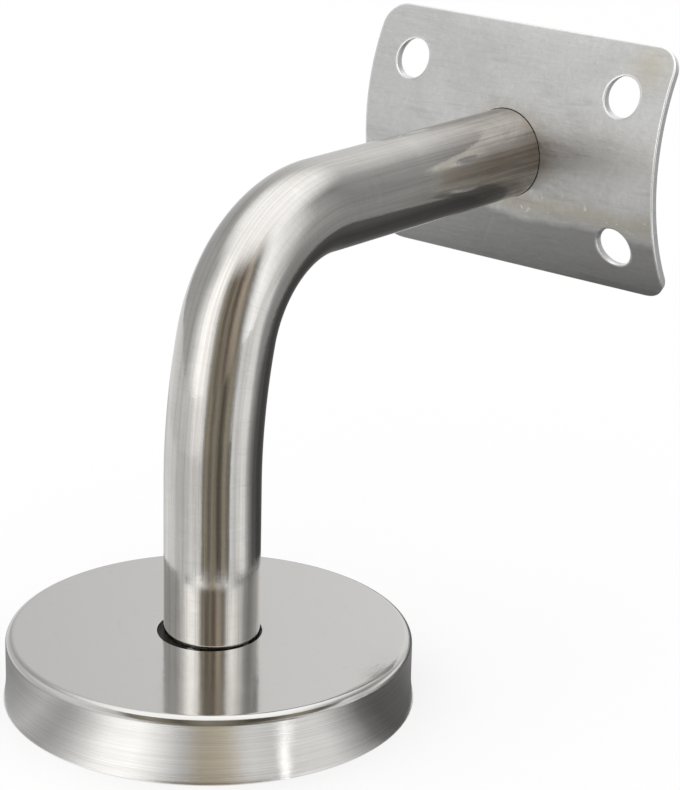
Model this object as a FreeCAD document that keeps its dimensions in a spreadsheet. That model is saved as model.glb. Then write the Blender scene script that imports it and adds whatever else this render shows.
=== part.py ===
"""Wall bracket for a handrail: a bent round arm, welded to a round wall flange
and to a curved saddle plate, with a loose pressed cover rose over the flange.

Frame: the wall face is z = 0 and +Z points away from the wall.  The origin is
the centre of the flange on the wall face.  The arm leaves the wall along +Z,
bends to +Y and carries the saddle, whose hollow side faces +Y.  The rail lies
in the saddle along X.
"""
import FreeCAD, Part
import math
import os

import Sketcher
from FreeCAD import Vector

# Driving dimensions in millimetres and degrees: alias, value, what it measures.
DIMENSIONS = [
    ("arm_diameter", 16.0, "outside of the arm tube"),
    ("arm_wall", 1.5, "wall of the arm tube"),
    ("arm_height", 79.0, "wall face to the centre of the arm's outer leg"),
    ("arm_reach", 76.6, "centre of the arm's wall leg to the crown of the saddle"),
    ("arm_recess", 0.5, "wall face to the tube end inside the flange"),
    ("ease_radius", 100.0, "centre-line radius where the bend eases in"),
    ("ease_angle", 14.0, "turn taken by the easing part of the bend"),
    ("bend_radius", 23.0, "centre-line radius of the main bend"),
    ("flange_diameter", 61.0, "wall flange"),
    ("flange_thickness", 4.0, "wall flange"),
    ("flange_edge", 0.5, "chamfer round the flange's front edge"),
    ("flange_screw_hole", 6.5, "screw holes in the flange"),
    ("flange_screw_inset", 8.5, "flange's rim to the centres of its screw holes"),
    ("flange_screw_count", 3, "number of screw holes in the flange"),
    ("seat_gap", 0.1, "radial gap between the tube and the holes it is set in"),
    ("flange_weld_leg", 3.0, "leg of the fillet weld on the flange"),
    ("cover_side_gap", 2.4, "radial gap between the flange and the cover's wall"),
    ("cover_head_room", 6.5, "gap between the flange and the cover's top, for screw heads"),
    ("cover_sheet", 0.8, "sheet of the cover"),
    ("cover_rim_radius", 1.4, "outside radius of the cover's drawn rim"),
    ("cover_flare", 0.5, "how far the cover's mouth flares past its wall"),
    ("cover_flare_height", 4.2, "height of the flared mouth"),
    ("cover_hole_gap", 0.7, "radial gap between the arm and the cover's hole"),
    ("cover_shift_x", -0.15, "how far the loose cover sits off centre along X"),
    ("cover_shift_y", -0.37, "how far the loose cover sits off centre along Y"),
    ("rail_diameter", 76.1, "round that the saddle's hollow side is rolled to"),
    ("saddle_sheet", 1.5, "sheet of the saddle plate"),
    ("saddle_length", 63.8, "saddle along the rail"),
    ("saddle_blank", 47.0, "saddle round the rail, measured along its middle"),
    ("saddle_corner", 4.5, "corner radius of the saddle"),
    ("saddle_edge_break", 0.25, "bevel of the saddle's cut edges"),
    ("saddle_screw_hole", 7.0, "screw holes in the saddle"),
    ("saddle_screw_inset", 8.9, "saddle's ends to the centres of its screw holes"),
    ("saddle_screw_width", 26.8, "screw holes apart, across the rail"),
    ("saddle_weld_depth", 0.75, "depth of the flush weld in the saddle's seat"),
]

START, END, CENTRE = 1, 2, 3  # a sketch edge's points
ORIGIN = (-1, START)          # a sketch's own origin
H_AXIS = -1
V_AXIS = -2

doc = FreeCAD.newDocument("handrail_bracket")
sheet = doc.addObject("Spreadsheet::Sheet", "Sizes")
for row, (alias, value, meaning) in enumerate(DIMENSIONS, start=1):
    sheet.set("A%d" % row, alias)
    sheet.set("B%d" % row, str(value))
    sheet.set("C%d" % row, meaning)
    sheet.setAlias("B%d" % row, alias)
doc.recompute()
size = {alias: float(sheet.get(alias)) for alias, _, _ in DIMENSIONS}

arm_radius = size["arm_diameter"] / 2
rail_radius = size["rail_diameter"] / 2
crown_radius = rail_radius + size["saddle_sheet"]


def new_body(name):
    body = doc.addObject("PartDesign::Body", name)
    body.Label = name
    return body


def new_sketch(body, name, role):
    """A sketch on one of the body's own origin planes."""
    sketch = body.newObject("Sketcher::SketchObject", name)
    planes = [f for f in body.Origin.OriginFeatures if f.Role == role]
    sketch.AttachmentSupport = [(planes[0], "")]
    sketch.MapMode = "FlatFace"
    return sketch


def bind(sketch, kind, places, value, expression):
    """A dimension of the sketch, tied to the sheet."""
    index = sketch.addConstraint(Sketcher.Constraint(kind, *places, value))
    sketch.setExpression("Constraints[%d]" % index, expression)


def line(sketch, start, end):
    return sketch.addGeometry(Part.LineSegment(Vector(*start, 0), Vector(*end, 0)), False)


def arc(sketch, centre, radius, first, last):
    """A counter-clockwise arc between two angles in degrees."""
    circle = Part.Circle(Vector(*centre, 0), Vector(0, 0, 1), radius)
    return sketch.addGeometry(
        Part.ArcOfCircle(circle, math.radians(first), math.radians(last)), False)


def circle(sketch, centre, radius):
    return sketch.addGeometry(
        Part.Circle(Vector(*centre, 0), Vector(0, 0, 1), radius), False)


def join(sketch, *pairs):
    """Make each pair of points, given as edge, point, edge, point, one point."""
    for pair in pairs:
        sketch.addConstraint(Sketcher.Constraint("Coincident", *pair))


def smooth(sketch, *pairs):
    """Join each pair of end points so that the edges run on tangentially."""
    for pair in pairs:
        sketch.addConstraint(Sketcher.Constraint("Tangent", *pair))


def revolve(body, name, sketch):
    feature = body.newObject("PartDesign::Revolution", name)
    feature.Profile = sketch
    feature.ReferenceAxis = (sketch, ["V_Axis"])
    feature.Angle = 360
    body.Tip = feature
    return feature


def edges_where(feature, test):
    """Names of the feature's edges that pass a test on their shape."""
    return ["Edge%d" % number
            for number, edge in enumerate(feature.Shape.Edges, start=1) if test(edge)]


def is_round(edge, radius):
    return (isinstance(edge.Curve, Part.Circle)
            and abs(edge.Curve.Radius - radius) < 1e-4)


def dress(body, kind, name, base, names, prop, expression):
    """A fillet or a chamfer on named edges of the body's last feature."""
    feature = body.newObject("PartDesign::" + kind, name)
    feature.Base = (base, names)
    feature.setExpression(prop, expression)
    body.Tip = feature
    doc.recompute()
    return feature


def make_wall_flange():
    """Turned disc with a seat for the tube and a ring of screw holes."""
    body = new_body("wall_flange")
    outline = new_sketch(body, "FlangeOutline", "XY_Plane")
    rim = circle(outline, (0, 0), size["flange_diameter"] / 2)
    seat = circle(outline, (0, 0), arm_radius + size["seat_gap"])
    join(outline, (rim, CENTRE, *ORIGIN), (seat, CENTRE, *ORIGIN))
    bind(outline, "Radius", (rim,), size["flange_diameter"] / 2, "Sizes.flange_diameter / 2")
    bind(outline, "Radius", (seat,), arm_radius + size["seat_gap"],
         "Sizes.arm_diameter / 2 + Sizes.seat_gap")
    disc = body.newObject("PartDesign::Pad", "FlangeDisc")
    disc.Profile = outline
    disc.setExpression("Length", "Sizes.flange_thickness")

    place = new_sketch(body, "FlangeScrewPlace", "XY_Plane")
    pitch = size["flange_diameter"] / 2 - size["flange_screw_inset"]
    screw = circle(place, (0, -pitch), size["flange_screw_hole"] / 2)
    place.addConstraint(Sketcher.Constraint("PointOnObject", screw, CENTRE, V_AXIS))
    bind(place, "DistanceY", (screw, CENTRE, *ORIGIN), pitch,
         "Sizes.flange_diameter / 2 - Sizes.flange_screw_inset")
    bind(place, "Radius", (screw,), size["flange_screw_hole"] / 2,
         "Sizes.flange_screw_hole / 2")
    doc.recompute()
    hole = body.newObject("PartDesign::Pocket", "FlangeScrewHole")
    hole.Profile = place
    hole.Type = "ThroughAll"
    hole.Reversed = True
    doc.recompute()

    ring = body.newObject("PartDesign::PolarPattern", "FlangeScrewRing")
    ring.Originals = [hole]
    ring.Axis = (place, ["N_Axis"])
    ring.Angle = 360
    ring.setExpression("Occurrences", "Sizes.flange_screw_count")
    body.Tip = ring
    doc.recompute()

    front = edges_where(ring, lambda edge: is_round(edge, size["flange_diameter"] / 2)
                        and edge.BoundBox.ZMin > size["flange_thickness"] / 2)
    dress(body, "Chamfer", "FlangeEdge", ring, front, "Size", "Sizes.flange_edge")
    return body


def make_flange_weld():
    """Fillet weld round the tube, on the flange's front."""
    body = new_body("flange_weld")
    outline = new_sketch(body, "FlangeWeldOutline", "XZ_Plane")
    foot, top, leg = arm_radius, size["flange_thickness"], size["flange_weld_leg"]
    inner = line(outline, (foot, top + leg), (foot, top))
    base = line(outline, (foot, top), (foot + leg, top))
    face = line(outline, (foot + leg, top), (foot, top + leg))
    join(outline, (inner, END, base, START), (base, END, face, START), (face, END, inner, START))
    outline.addConstraint(Sketcher.Constraint("Vertical", inner))
    outline.addConstraint(Sketcher.Constraint("Horizontal", base))
    bind(outline, "DistanceX", (*ORIGIN, base, START), foot, "Sizes.arm_diameter / 2")
    bind(outline, "DistanceY", (*ORIGIN, base, START), top, "Sizes.flange_thickness")
    bind(outline, "DistanceX", (base, START, base, END), leg, "Sizes.flange_weld_leg")
    bind(outline, "DistanceY", (inner, END, inner, START), leg, "Sizes.flange_weld_leg")
    revolve(body, "FlangeWeldBead", outline)
    return body


def make_arm_tube():
    """Tube bent through a right angle: the bend eases in and then tightens.

    Its outer end is coped to a round about the rail's axis, so that it stops
    inside the saddle's seat, short of the hollow side by the weld's depth.
    """
    body = new_body("arm_tube")
    ease = math.radians(size["ease_angle"])
    ease_r, bend_r = size["ease_radius"], size["bend_radius"]
    height, start = size["arm_height"], size["arm_recess"]
    bend_centre = (ease_r - (ease_r - bend_r) * math.cos(ease), height - bend_r)
    ease_start = bend_centre[1] - (ease_r - bend_r) * math.sin(ease)
    tip = size["arm_reach"] + size["saddle_sheet"] + arm_radius

    path = new_sketch(body, "ArmPath", "YZ_Plane")
    wall_leg = line(path, (0, start), (0, ease_start))
    easing = arc(path, (ease_r, ease_start), ease_r, 180 - size["ease_angle"], 180)
    bend = arc(path, bend_centre, bend_r, 90, 180 - size["ease_angle"])
    outer_leg = line(path, (bend_centre[0], height), (tip, height))
    smooth(path, (wall_leg, END, easing, END), (easing, START, bend, END),
           (bend, START, outer_leg, START))
    path.addConstraint(Sketcher.Constraint("Vertical", wall_leg))
    path.addConstraint(Sketcher.Constraint("Horizontal", outer_leg))
    path.addConstraint(Sketcher.Constraint("PointOnObject", wall_leg, START, V_AXIS))
    bind(path, "DistanceY", (*ORIGIN, wall_leg, START), start, "Sizes.arm_recess")
    bind(path, "Radius", (easing,), ease_r, "Sizes.ease_radius")
    bind(path, "Radius", (bend,), bend_r, "Sizes.bend_radius")
    bind(path, "Angle", (easing,), ease, "Sizes.ease_angle * 1 deg")
    bind(path, "DistanceY", (*ORIGIN, outer_leg, END), height, "Sizes.arm_height")
    bind(path, "DistanceX", (*ORIGIN, outer_leg, END), tip,
         "Sizes.arm_reach + Sizes.saddle_sheet + Sizes.arm_diameter / 2")

    section = new_sketch(body, "ArmSection", "XY_Plane")
    section.setExpression("AttachmentOffset.Base.z", "Sizes.arm_recess")
    outside = circle(section, (0, 0), arm_radius)
    inside = circle(section, (0, 0), arm_radius - size["arm_wall"])
    join(section, (outside, CENTRE, *ORIGIN), (inside, CENTRE, *ORIGIN))
    bind(section, "Radius", (outside,), arm_radius, "Sizes.arm_diameter / 2")
    bind(section, "Radius", (inside,), arm_radius - size["arm_wall"],
         "Sizes.arm_diameter / 2 - Sizes.arm_wall")
    doc.recompute()

    tube = body.newObject("PartDesign::AdditivePipe", "ArmBend")
    tube.Profile = section
    tube.Spine = path
    tube.Transition = "Transformed"
    doc.recompute()

    cope = new_sketch(body, "ArmCope", "YZ_Plane")
    cope_radius = rail_radius + size["saddle_weld_depth"]
    round_cut = circle(cope, (size["arm_reach"] + crown_radius, height), cope_radius)
    bind(cope, "DistanceX", (*ORIGIN, round_cut, CENTRE), size["arm_reach"] + crown_radius,
         "Sizes.arm_reach + Sizes.rail_diameter / 2 + Sizes.saddle_sheet")
    bind(cope, "DistanceY", (*ORIGIN, round_cut, CENTRE), height, "Sizes.arm_height")
    bind(cope, "Radius", (round_cut,), cope_radius,
         "Sizes.rail_diameter / 2 + Sizes.saddle_weld_depth")
    cut = body.newObject("PartDesign::Pocket", "ArmEnd")
    cut.Profile = cope
    cut.Midplane = True
    cut.setExpression("Length", "Sizes.arm_diameter * 2")
    body.Tip = cut
    return body


def make_saddle_plate():
    """Plate rolled to the rail, with round corners, a seat and four screw holes."""
    body = new_body("saddle_plate")
    centre = (size["arm_reach"] + crown_radius, size["arm_height"])
    half_turn = size["saddle_blank"] / (rail_radius + crown_radius)
    half_chord = crown_radius * math.sin(half_turn)
    half_degrees = math.degrees(half_turn)

    def polar(radius, angle):
        return (centre[0] - radius * math.cos(angle), centre[1] + radius * math.sin(angle))

    outline = new_sketch(body, "SaddleSection", "YZ_Plane")
    crown = arc(outline, centre, crown_radius, 180 - half_degrees, 180 + half_degrees)
    hollow = arc(outline, centre, rail_radius, 180 - half_degrees, 180 + half_degrees)
    upper = line(outline, polar(crown_radius, half_turn), polar(rail_radius, half_turn))
    lower = line(outline, polar(crown_radius, -half_turn), polar(rail_radius, -half_turn))
    join(outline, (crown, START, upper, START), (hollow, START, upper, END),
         (crown, END, lower, START), (hollow, END, lower, END),
         (crown, CENTRE, hollow, CENTRE))
    for end in (upper, lower):
        outline.addConstraint(Sketcher.Constraint("PointOnObject", crown, CENTRE, end))
    bind(outline, "DistanceX", (*ORIGIN, crown, CENTRE), centre[0],
         "Sizes.arm_reach + Sizes.rail_diameter / 2 + Sizes.saddle_sheet")
    bind(outline, "DistanceY", (*ORIGIN, crown, CENTRE), centre[1], "Sizes.arm_height")
    bind(outline, "Radius", (crown,), crown_radius,
         "Sizes.rail_diameter / 2 + Sizes.saddle_sheet")
    bind(outline, "Radius", (hollow,), rail_radius, "Sizes.rail_diameter / 2")
    chord = ("(Sizes.rail_diameter / 2 + Sizes.saddle_sheet) * sin(1 rad * "
             "Sizes.saddle_blank / (Sizes.rail_diameter + Sizes.saddle_sheet))")
    bind(outline, "DistanceY", (crown, CENTRE, upper, START), half_chord, chord)
    bind(outline, "DistanceY", (lower, START, crown, CENTRE), half_chord, chord)
    rolled = body.newObject("PartDesign::Pad", "SaddleRolled")
    rolled.Profile = outline
    rolled.Midplane = True
    rolled.setExpression("Length", "Sizes.saddle_length")

    seat_plan = new_sketch(body, "SaddleSeatPlan", "XZ_Plane")
    seat = circle(seat_plan, (0, centre[1]), arm_radius + size["seat_gap"])
    seat_plan.addConstraint(Sketcher.Constraint("PointOnObject", seat, CENTRE, V_AXIS))
    bind(seat_plan, "DistanceY", (*ORIGIN, seat, CENTRE), centre[1], "Sizes.arm_height")
    bind(seat_plan, "Radius", (seat,), arm_radius + size["seat_gap"],
         "Sizes.arm_diameter / 2 + Sizes.seat_gap")

    screw_plan = new_sketch(body, "SaddleScrewPlan", "XZ_Plane")
    half_x = size["saddle_length"] / 2 - size["saddle_screw_inset"]
    half_z = size["saddle_screw_width"] / 2
    for side, reach in ((-1, 1), (1, 1), (-1, -1), (1, -1)):
        screw = circle(screw_plan, (side * half_x, centre[1] + reach * half_z),
                       size["saddle_screw_hole"] / 2)
        bind(screw_plan, "Radius", (screw,), size["saddle_screw_hole"] / 2,
             "Sizes.saddle_screw_hole / 2")
        across = (*ORIGIN, screw, CENTRE) if side > 0 else (screw, CENTRE, *ORIGIN)
        bind(screw_plan, "DistanceX", across, half_x,
             "Sizes.saddle_length / 2 - Sizes.saddle_screw_inset")
        sign = "+" if reach > 0 else "-"
        bind(screw_plan, "DistanceY", (*ORIGIN, screw, CENTRE), centre[1] + reach * half_z,
             "Sizes.arm_height %s Sizes.saddle_screw_width / 2" % sign)
    doc.recompute()

    for name, plan in (("SaddleSeat", seat_plan), ("SaddleScrewHoles", screw_plan)):
        holes = body.newObject("PartDesign::Pocket", name)
        holes.Profile = plan
        holes.Type = "ThroughAll"
        holes.Midplane = True
        body.Tip = holes
        doc.recompute()

    half_length = size["saddle_length"] / 2
    corners = edges_where(
        holes, lambda edge: isinstance(edge.Curve, Part.Line)
        and abs(edge.Length - size["saddle_sheet"]) < 1e-4
        and abs(abs(edge.CenterOfMass.x) - half_length) < 1e-4)
    rounded = dress(body, "Fillet", "SaddleCorners", holes, corners, "Radius",
                    "Sizes.saddle_corner")

    outer_faces = [face for face in rounded.Shape.Faces
                   if isinstance(face.Surface, Part.Cylinder)
                   and min(abs(face.Surface.Radius - rail_radius),
                           abs(face.Surface.Radius - crown_radius)) < 1e-4]
    rims = [edge for face in outer_faces for edge in face.OuterWire.Edges]
    broken = edges_where(rounded, lambda edge: any(edge.isSame(rim) for rim in rims))
    dress(body, "Chamfer", "SaddleEdges", rounded, broken, "Size",
          "min(Sizes.saddle_edge_break; Sizes.saddle_sheet / 3)")
    return body


def make_saddle_weld():
    """Flush ring of weld on the tube's end, ground to the saddle's hollow side."""
    name = "saddle_weld"
    half_reach = "(Sizes.saddle_sheet + Sizes.arm_diameter)"

    def cylinder(label, radius, height, position, turn_axis):
        solid = doc.addObject("Part::Cylinder", label)
        solid.setExpression("Radius", radius)
        solid.setExpression("Height", height)
        turn = FreeCAD.Rotation(turn_axis, -90 if turn_axis.x else 90)
        solid.Placement = FreeCAD.Placement(Vector(), turn)
        for axis, expression in zip("xyz", position):
            solid.setExpression("Placement.Base." + axis, expression)
        return solid

    def cut(label, base, tool):
        result = doc.addObject("Part::Cut", label)
        result.Base = base
        result.Tool = tool
        return result

    along_y = Vector(1, 0, 0)
    along_x = Vector(0, 1, 0)
    arm_start = ("0", "Sizes.arm_reach", "Sizes.arm_height")
    ring = cut("SaddleWeldRing",
               cylinder("SaddleWeldOutside", "Sizes.arm_diameter / 2 + Sizes.seat_gap",
                        half_reach, arm_start, along_y),
               cylinder("SaddleWeldBore", "Sizes.arm_diameter / 2 - Sizes.arm_wall",
                        half_reach, arm_start, along_y))
    rail_start = ("-" + half_reach,
                  "Sizes.arm_reach + Sizes.rail_diameter / 2 + Sizes.saddle_sheet",
                  "Sizes.arm_height")
    skin = cut("SaddleWeldSkin",
               cylinder("SaddleWeldRoot", "Sizes.rail_diameter / 2 + Sizes.saddle_weld_depth",
                        "2 * " + half_reach, rail_start, along_x),
               cylinder("SaddleWeldFace", "Sizes.rail_diameter / 2",
                        "2 * " + half_reach, rail_start, along_x))
    weld = doc.addObject("Part::MultiCommon", name)
    weld.Shapes = [ring, skin]
    weld.Label = name
    return weld


def make_cover_rose():
    """Pressed cap: flat top, drawn rim, plain wall and a slightly flared mouth."""
    body = new_body("cover_rose")
    sheet_t = size["cover_sheet"]
    wall = size["flange_diameter"] / 2 + size["cover_side_gap"] + sheet_t
    height = size["flange_thickness"] + size["cover_head_room"] + sheet_t
    rim, flare, mouth = size["cover_rim_radius"], size["cover_flare"], size["cover_flare_height"]
    hole = arm_radius + size["cover_hole_gap"]

    outline = new_sketch(body, "CoverOutline", "XZ_Plane")
    top = line(outline, (hole, height), (wall - rim, height))
    rim_out = arc(outline, (wall - rim, height - rim), rim, 0, 90)
    wall_out = line(outline, (wall, height - rim), (wall, mouth))
    flare_out = line(outline, (wall, mouth), (wall + flare, 0))
    lip = line(outline, (wall + flare, 0), (wall + flare - sheet_t, 0))
    flare_in = line(outline, (wall + flare - sheet_t, 0), (wall - sheet_t, mouth))
    wall_in = line(outline, (wall - sheet_t, mouth), (wall - sheet_t, height - rim))
    rim_in = line(outline, (wall - sheet_t, height - rim), (wall - rim, height - sheet_t))
    under = line(outline, (wall - rim, height - sheet_t), (hole, height - sheet_t))
    edge = line(outline, (hole, height - sheet_t), (hole, height))
    smooth(outline, (top, END, rim_out, END), (rim_out, START, wall_out, START))
    join(outline, (wall_out, END, flare_out, START), (flare_out, END, lip, START),
         (lip, END, flare_in, START), (flare_in, END, wall_in, START),
         (wall_in, END, rim_in, START), (rim_in, END, under, START),
         (under, END, edge, START), (edge, END, top, START))
    outline.addConstraint(
        Sketcher.Constraint("Horizontal", rim_out, CENTRE, rim_in, START))
    outline.addConstraint(
        Sketcher.Constraint("Vertical", rim_out, CENTRE, rim_in, END))
    for flat in (top, lip, under):
        outline.addConstraint(Sketcher.Constraint("Horizontal", flat))
    for upright in (wall_out, wall_in, edge):
        outline.addConstraint(Sketcher.Constraint("Vertical", upright))
    outline.addConstraint(Sketcher.Constraint("PointOnObject", lip, START, H_AXIS))
    bind(outline, "DistanceX", (*ORIGIN, edge, END), hole,
         "Sizes.arm_diameter / 2 + Sizes.cover_hole_gap")
    bind(outline, "DistanceY", (*ORIGIN, edge, END), height,
         "Sizes.flange_thickness + Sizes.cover_head_room + Sizes.cover_sheet")
    bind(outline, "DistanceY", (edge, START, edge, END), sheet_t, "Sizes.cover_sheet")
    bind(outline, "Radius", (rim_out,), rim, "Sizes.cover_rim_radius")
    bind(outline, "DistanceX", (*ORIGIN, wall_out, START), wall,
         "Sizes.flange_diameter / 2 + Sizes.cover_side_gap + Sizes.cover_sheet")
    bind(outline, "DistanceY", (*ORIGIN, wall_out, END), mouth, "Sizes.cover_flare_height")
    bind(outline, "DistanceX", (wall_out, END, lip, START), flare, "Sizes.cover_flare")
    bind(outline, "DistanceX", (lip, END, lip, START), sheet_t, "Sizes.cover_sheet")
    bind(outline, "DistanceX", (wall_in, START, wall_out, END), sheet_t, "Sizes.cover_sheet")
    bind(outline, "DistanceY", (*ORIGIN, wall_in, START), mouth, "Sizes.cover_flare_height")
    revolve(body, "CoverPressed", outline)
    body.setExpression("Placement.Base.x", "Sizes.cover_shift_x")
    body.setExpression("Placement.Base.y", "Sizes.cover_shift_y")
    return body


def check(pieces):
    """Stop if any object failed, or a piece has no sound shape."""
    for item in doc.Objects:
        if "Invalid" in item.State or "Error" in item.State:
            raise RuntimeError("%s failed: %s" % (item.Name, item.State))
    for piece in pieces:
        if piece.Shape.isNull() or not piece.Shape.isValid():
            raise RuntimeError("%s has no sound shape" % piece.Label)


pieces = [
    make_wall_flange(),
    make_flange_weld(),
    make_arm_tube(),
    make_saddle_plate(),
    make_saddle_weld(),
    make_cover_rose(),
]
doc.recompute()
check(pieces)
os.makedirs("parts", exist_ok=True)
for piece in pieces:
    piece.Shape.exportStep("parts/%s.step" % piece.Label)
    print("%-14s %9.1f mm3" % (piece.Label, piece.Shape.Volume))
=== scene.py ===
"""A handrail bracket in stainless steel: its visible pieces, their finishes and a plain studio."""

import math

import bmesh
import bpy
import numpy as np
from bpy.props import FloatProperty, FloatVectorProperty, IntProperty, PointerProperty
from bpy.types import Operator, Panel, PropertyGroup
from mathutils import Matrix, Vector


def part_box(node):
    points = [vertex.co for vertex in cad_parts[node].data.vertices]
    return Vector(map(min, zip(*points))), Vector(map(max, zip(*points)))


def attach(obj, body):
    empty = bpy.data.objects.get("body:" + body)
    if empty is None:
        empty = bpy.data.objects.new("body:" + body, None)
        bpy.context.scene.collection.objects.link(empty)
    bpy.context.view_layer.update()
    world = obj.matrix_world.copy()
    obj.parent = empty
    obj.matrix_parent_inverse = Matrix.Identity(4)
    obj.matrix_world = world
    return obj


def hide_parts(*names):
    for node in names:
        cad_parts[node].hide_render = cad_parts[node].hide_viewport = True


bl_info = {
    "name": "Handrail bracket",
    "version": (1, 0, 0),
    "blender": (4, 5, 0),
    "location": "3D View > Sidebar > Bracket",
    "description": "Builds the cover, arm, saddle, flange and welds of a handrail bracket",
    "category": "Add Mesh",
}

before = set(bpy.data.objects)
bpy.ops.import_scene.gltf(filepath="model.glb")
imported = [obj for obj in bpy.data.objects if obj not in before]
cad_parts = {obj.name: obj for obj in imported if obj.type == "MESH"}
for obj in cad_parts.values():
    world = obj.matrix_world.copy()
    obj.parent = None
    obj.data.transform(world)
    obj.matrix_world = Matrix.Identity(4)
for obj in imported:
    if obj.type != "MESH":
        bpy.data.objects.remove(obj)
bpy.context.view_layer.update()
MM = 0.001

FIXED_BODY = "bracket"
COVER_BODY = "cover"


def box_of(node):
    """The lowest and highest corner of a CAD node, as arrays."""
    low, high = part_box(node)
    return np.array(low), np.array(high)


COVER_LOW, COVER_HIGH = box_of("cover_rose")
ARM_LOW, ARM_HIGH = box_of("arm_tube")
SADDLE_LOW, SADDLE_HIGH = box_of("saddle_plate")
FLANGE_HIGH = box_of("wall_flange")[1]
COVER_MIDDLE = (COVER_LOW + COVER_HIGH) / 2
RAIL_HEIGHT = ARM_HIGH[2] - ARM_HIGH[0]
SHARP_EDGE = math.radians(25)
SAME_POINT = 2e-6
SAME_CAD_POINT = 1e-6
DISH_REACH = 2.2 * MM
RIPPLE_LEAN = 1.5


# ---------------------------------------------------------------- sizes and colours

def length(name, description, default):
    """A length in metres that a user may change."""
    return FloatProperty(name=name, description=description, default=float(default), min=0.0,
                         precision=5, subtype="DISTANCE", unit="LENGTH")


def colour(name, description, default):
    """A plain colour that a user may change."""
    return FloatVectorProperty(name=name, description=description, default=default, size=3,
                               min=0.0, max=1.0, subtype="COLOR")


def turning(name, description, degrees):
    """An angle that a user may change, with its default in degrees."""
    return FloatProperty(name=name, description=description, default=math.radians(degrees),
                         subtype="ANGLE", unit="ROTATION")


def watts(name, description, default):
    """A lamp's power that a user may change."""
    return FloatProperty(name=name, description=description, default=default, min=0.0,
                         unit="POWER")


class CoverSizes(PropertyGroup):
    """Sizes of the pressed cover."""
    mouth_radius: length("Mouth radius", "Outside radius at the open edge",
                         (COVER_HIGH[0] - COVER_LOW[0]) / 2)
    height: length("Height", "From the wall to the flat top", COVER_HIGH[2])
    sheet: length("Sheet", "Thickness of the pressed sheet", 0.8 * MM)
    flare: length("Flare", "How far the mouth stands out from the wall", 0.5 * MM)
    flare_height: length("Flare height", "Height of the flared part", 4.2 * MM)
    rim_radius: length("Rim radius", "Rounding between top and wall", 1.4 * MM)
    hole_radius: length("Hole radius", "Loose hole for the arm", 8.7 * MM)
    edge_round: length("Edge rounding", "Rounding of the cut edges", 0.12 * MM)
    dish: length("Dish", "How far the punch drew the hole's edge down", 0.06 * MM)


class ArmSizes(PropertyGroup):
    """Sizes of the bent tube."""
    radius: length("Radius", "Outside radius of the tube", ARM_HIGH[0])
    wall: length("Wall", "Wall thickness of the tube", 1.5 * MM)
    foot: length("Foot", "Height of the tube's foot over the wall", ARM_LOW[2])
    axis_height: length("Axis height", "Height of the level run's axis", RAIL_HEIGHT)
    ease_radius: length("Ease radius", "Radius of the slow start of the bend", 100 * MM)
    ease_angle: turning("Ease angle", "Turn made by the slow start", 14)
    bend_radius: length("Bend radius", "Radius of the main bend", 23 * MM)
    cope_depth: length("Cope depth", "Depth of the tube's end under the hollow side",
                       0.75 * MM)


class SaddleSizes(PropertyGroup):
    """Sizes of the rolled plate under the rail."""
    crown: length("Crown", "Distance of the crown from the tube's foot", SADDLE_LOW[1])
    rail_radius: length("Rail radius", "Radius of the hollow side", 38.05 * MM)
    sheet: length("Sheet", "Thickness of the plate", 1.5 * MM)
    half_length: length("Half length", "Half the length along the rail", SADDLE_HIGH[0])
    blank: length("Blank", "Width of the flat blank before rolling", 46.83 * MM)
    corner: length("Corner", "Radius of the corners", 4.5 * MM)
    seat_radius: length("Seat radius", "Hole that the tube stands in", 8.05 * MM)
    screw_radius: length("Screw hole radius", "Radius of the four screw holes", 3.5 * MM)
    screw_x: length("Screw hole along", "Screw holes from the middle along the rail", 23 * MM)
    screw_z: length("Screw hole across", "Screw holes from the middle across the rail",
                    13.4 * MM)
    edge_round: length("Edge rounding", "Rounding of the cut edges", 0.25 * MM)


class WeldSizes(PropertyGroup):
    """Sizes of the two welds."""
    leg: length("Leg", "Leg of the fillet weld on the flange", 3 * MM)
    ripples: IntProperty(name="Ripples", description="Ripples round the fillet weld",
                         default=34, min=3)
    ripple_depth: length("Ripple depth", "Depth of one ripple", 0.16 * MM)
    ring_width: length("Ring width", "Width of the flush ring in the saddle", 1.6 * MM)


class SteelColours(PropertyGroup):
    """Colours of the steel surfaces."""
    cover: colour("Cover", "Brushed cover", (0.76, 0.75, 0.73))
    arm: colour("Arm", "Satin tube", (0.72, 0.705, 0.68))
    arm_streak: colour("Arm streak", "Warm streaks along the tube", (0.40, 0.35, 0.30))
    mill: colour("Mill", "Rolled plate as it came from the mill", (0.80, 0.80, 0.79))
    mill_dark: colour("Mill dark", "Darker patches of the plate", (0.64, 0.64, 0.63))
    heat: colour("Heat", "Straw tint beside a weld", (0.50, 0.43, 0.33))
    # Colour of a real stain near a corner, and also of the painted warm reflection on the saddle.
    stain_and_warm_reflection: colour("Stain", "Yellowish stain near a corner", (0.55, 0.50, 0.36))
    weld: colour("Weld", "Weld metal", (0.46, 0.45, 0.44))


class StudioSettings(PropertyGroup):
    """Place of the camera and level of the lights."""
    camera_place: FloatVectorProperty(
        name="Camera place", description="Where the camera stands", size=3,
        default=(0.269473, -0.296796, 0.190669), subtype="TRANSLATION", unit="LENGTH")
    camera_azimuth: turning("Azimuth", "Camera's turn about the upright", 39.323)
    camera_elevation: turning("Elevation", "How far it looks down", 18.993)
    camera_roll: turning("Roll", "Camera's turn about its own axis", 1.366)
    lens: FloatProperty(name="Lens", description="Focal length in millimetres",
                        default=119.846, min=1.0)
    key_power: watts("Key power", "Watts of the large soft lamp", 3.0)
    fill_power: watts("Fill power", "Watts of the fill lamp", 1.5)
    paper: colour("Paper", "Floor and backdrop", (0.95, 0.95, 0.95))


# ---------------------------------------------------------------- surfaces

def pairs(first, second):
    """Pairs of numbers, where one of the two may be the same for all."""
    return np.column_stack(np.broadcast_arrays(first, second))


def grid_points(x, y, z):
    """Points of a grid, where a part may be the same along a row or a column."""
    return np.stack(np.broadcast_arrays(x, y, z), -1)


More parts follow.
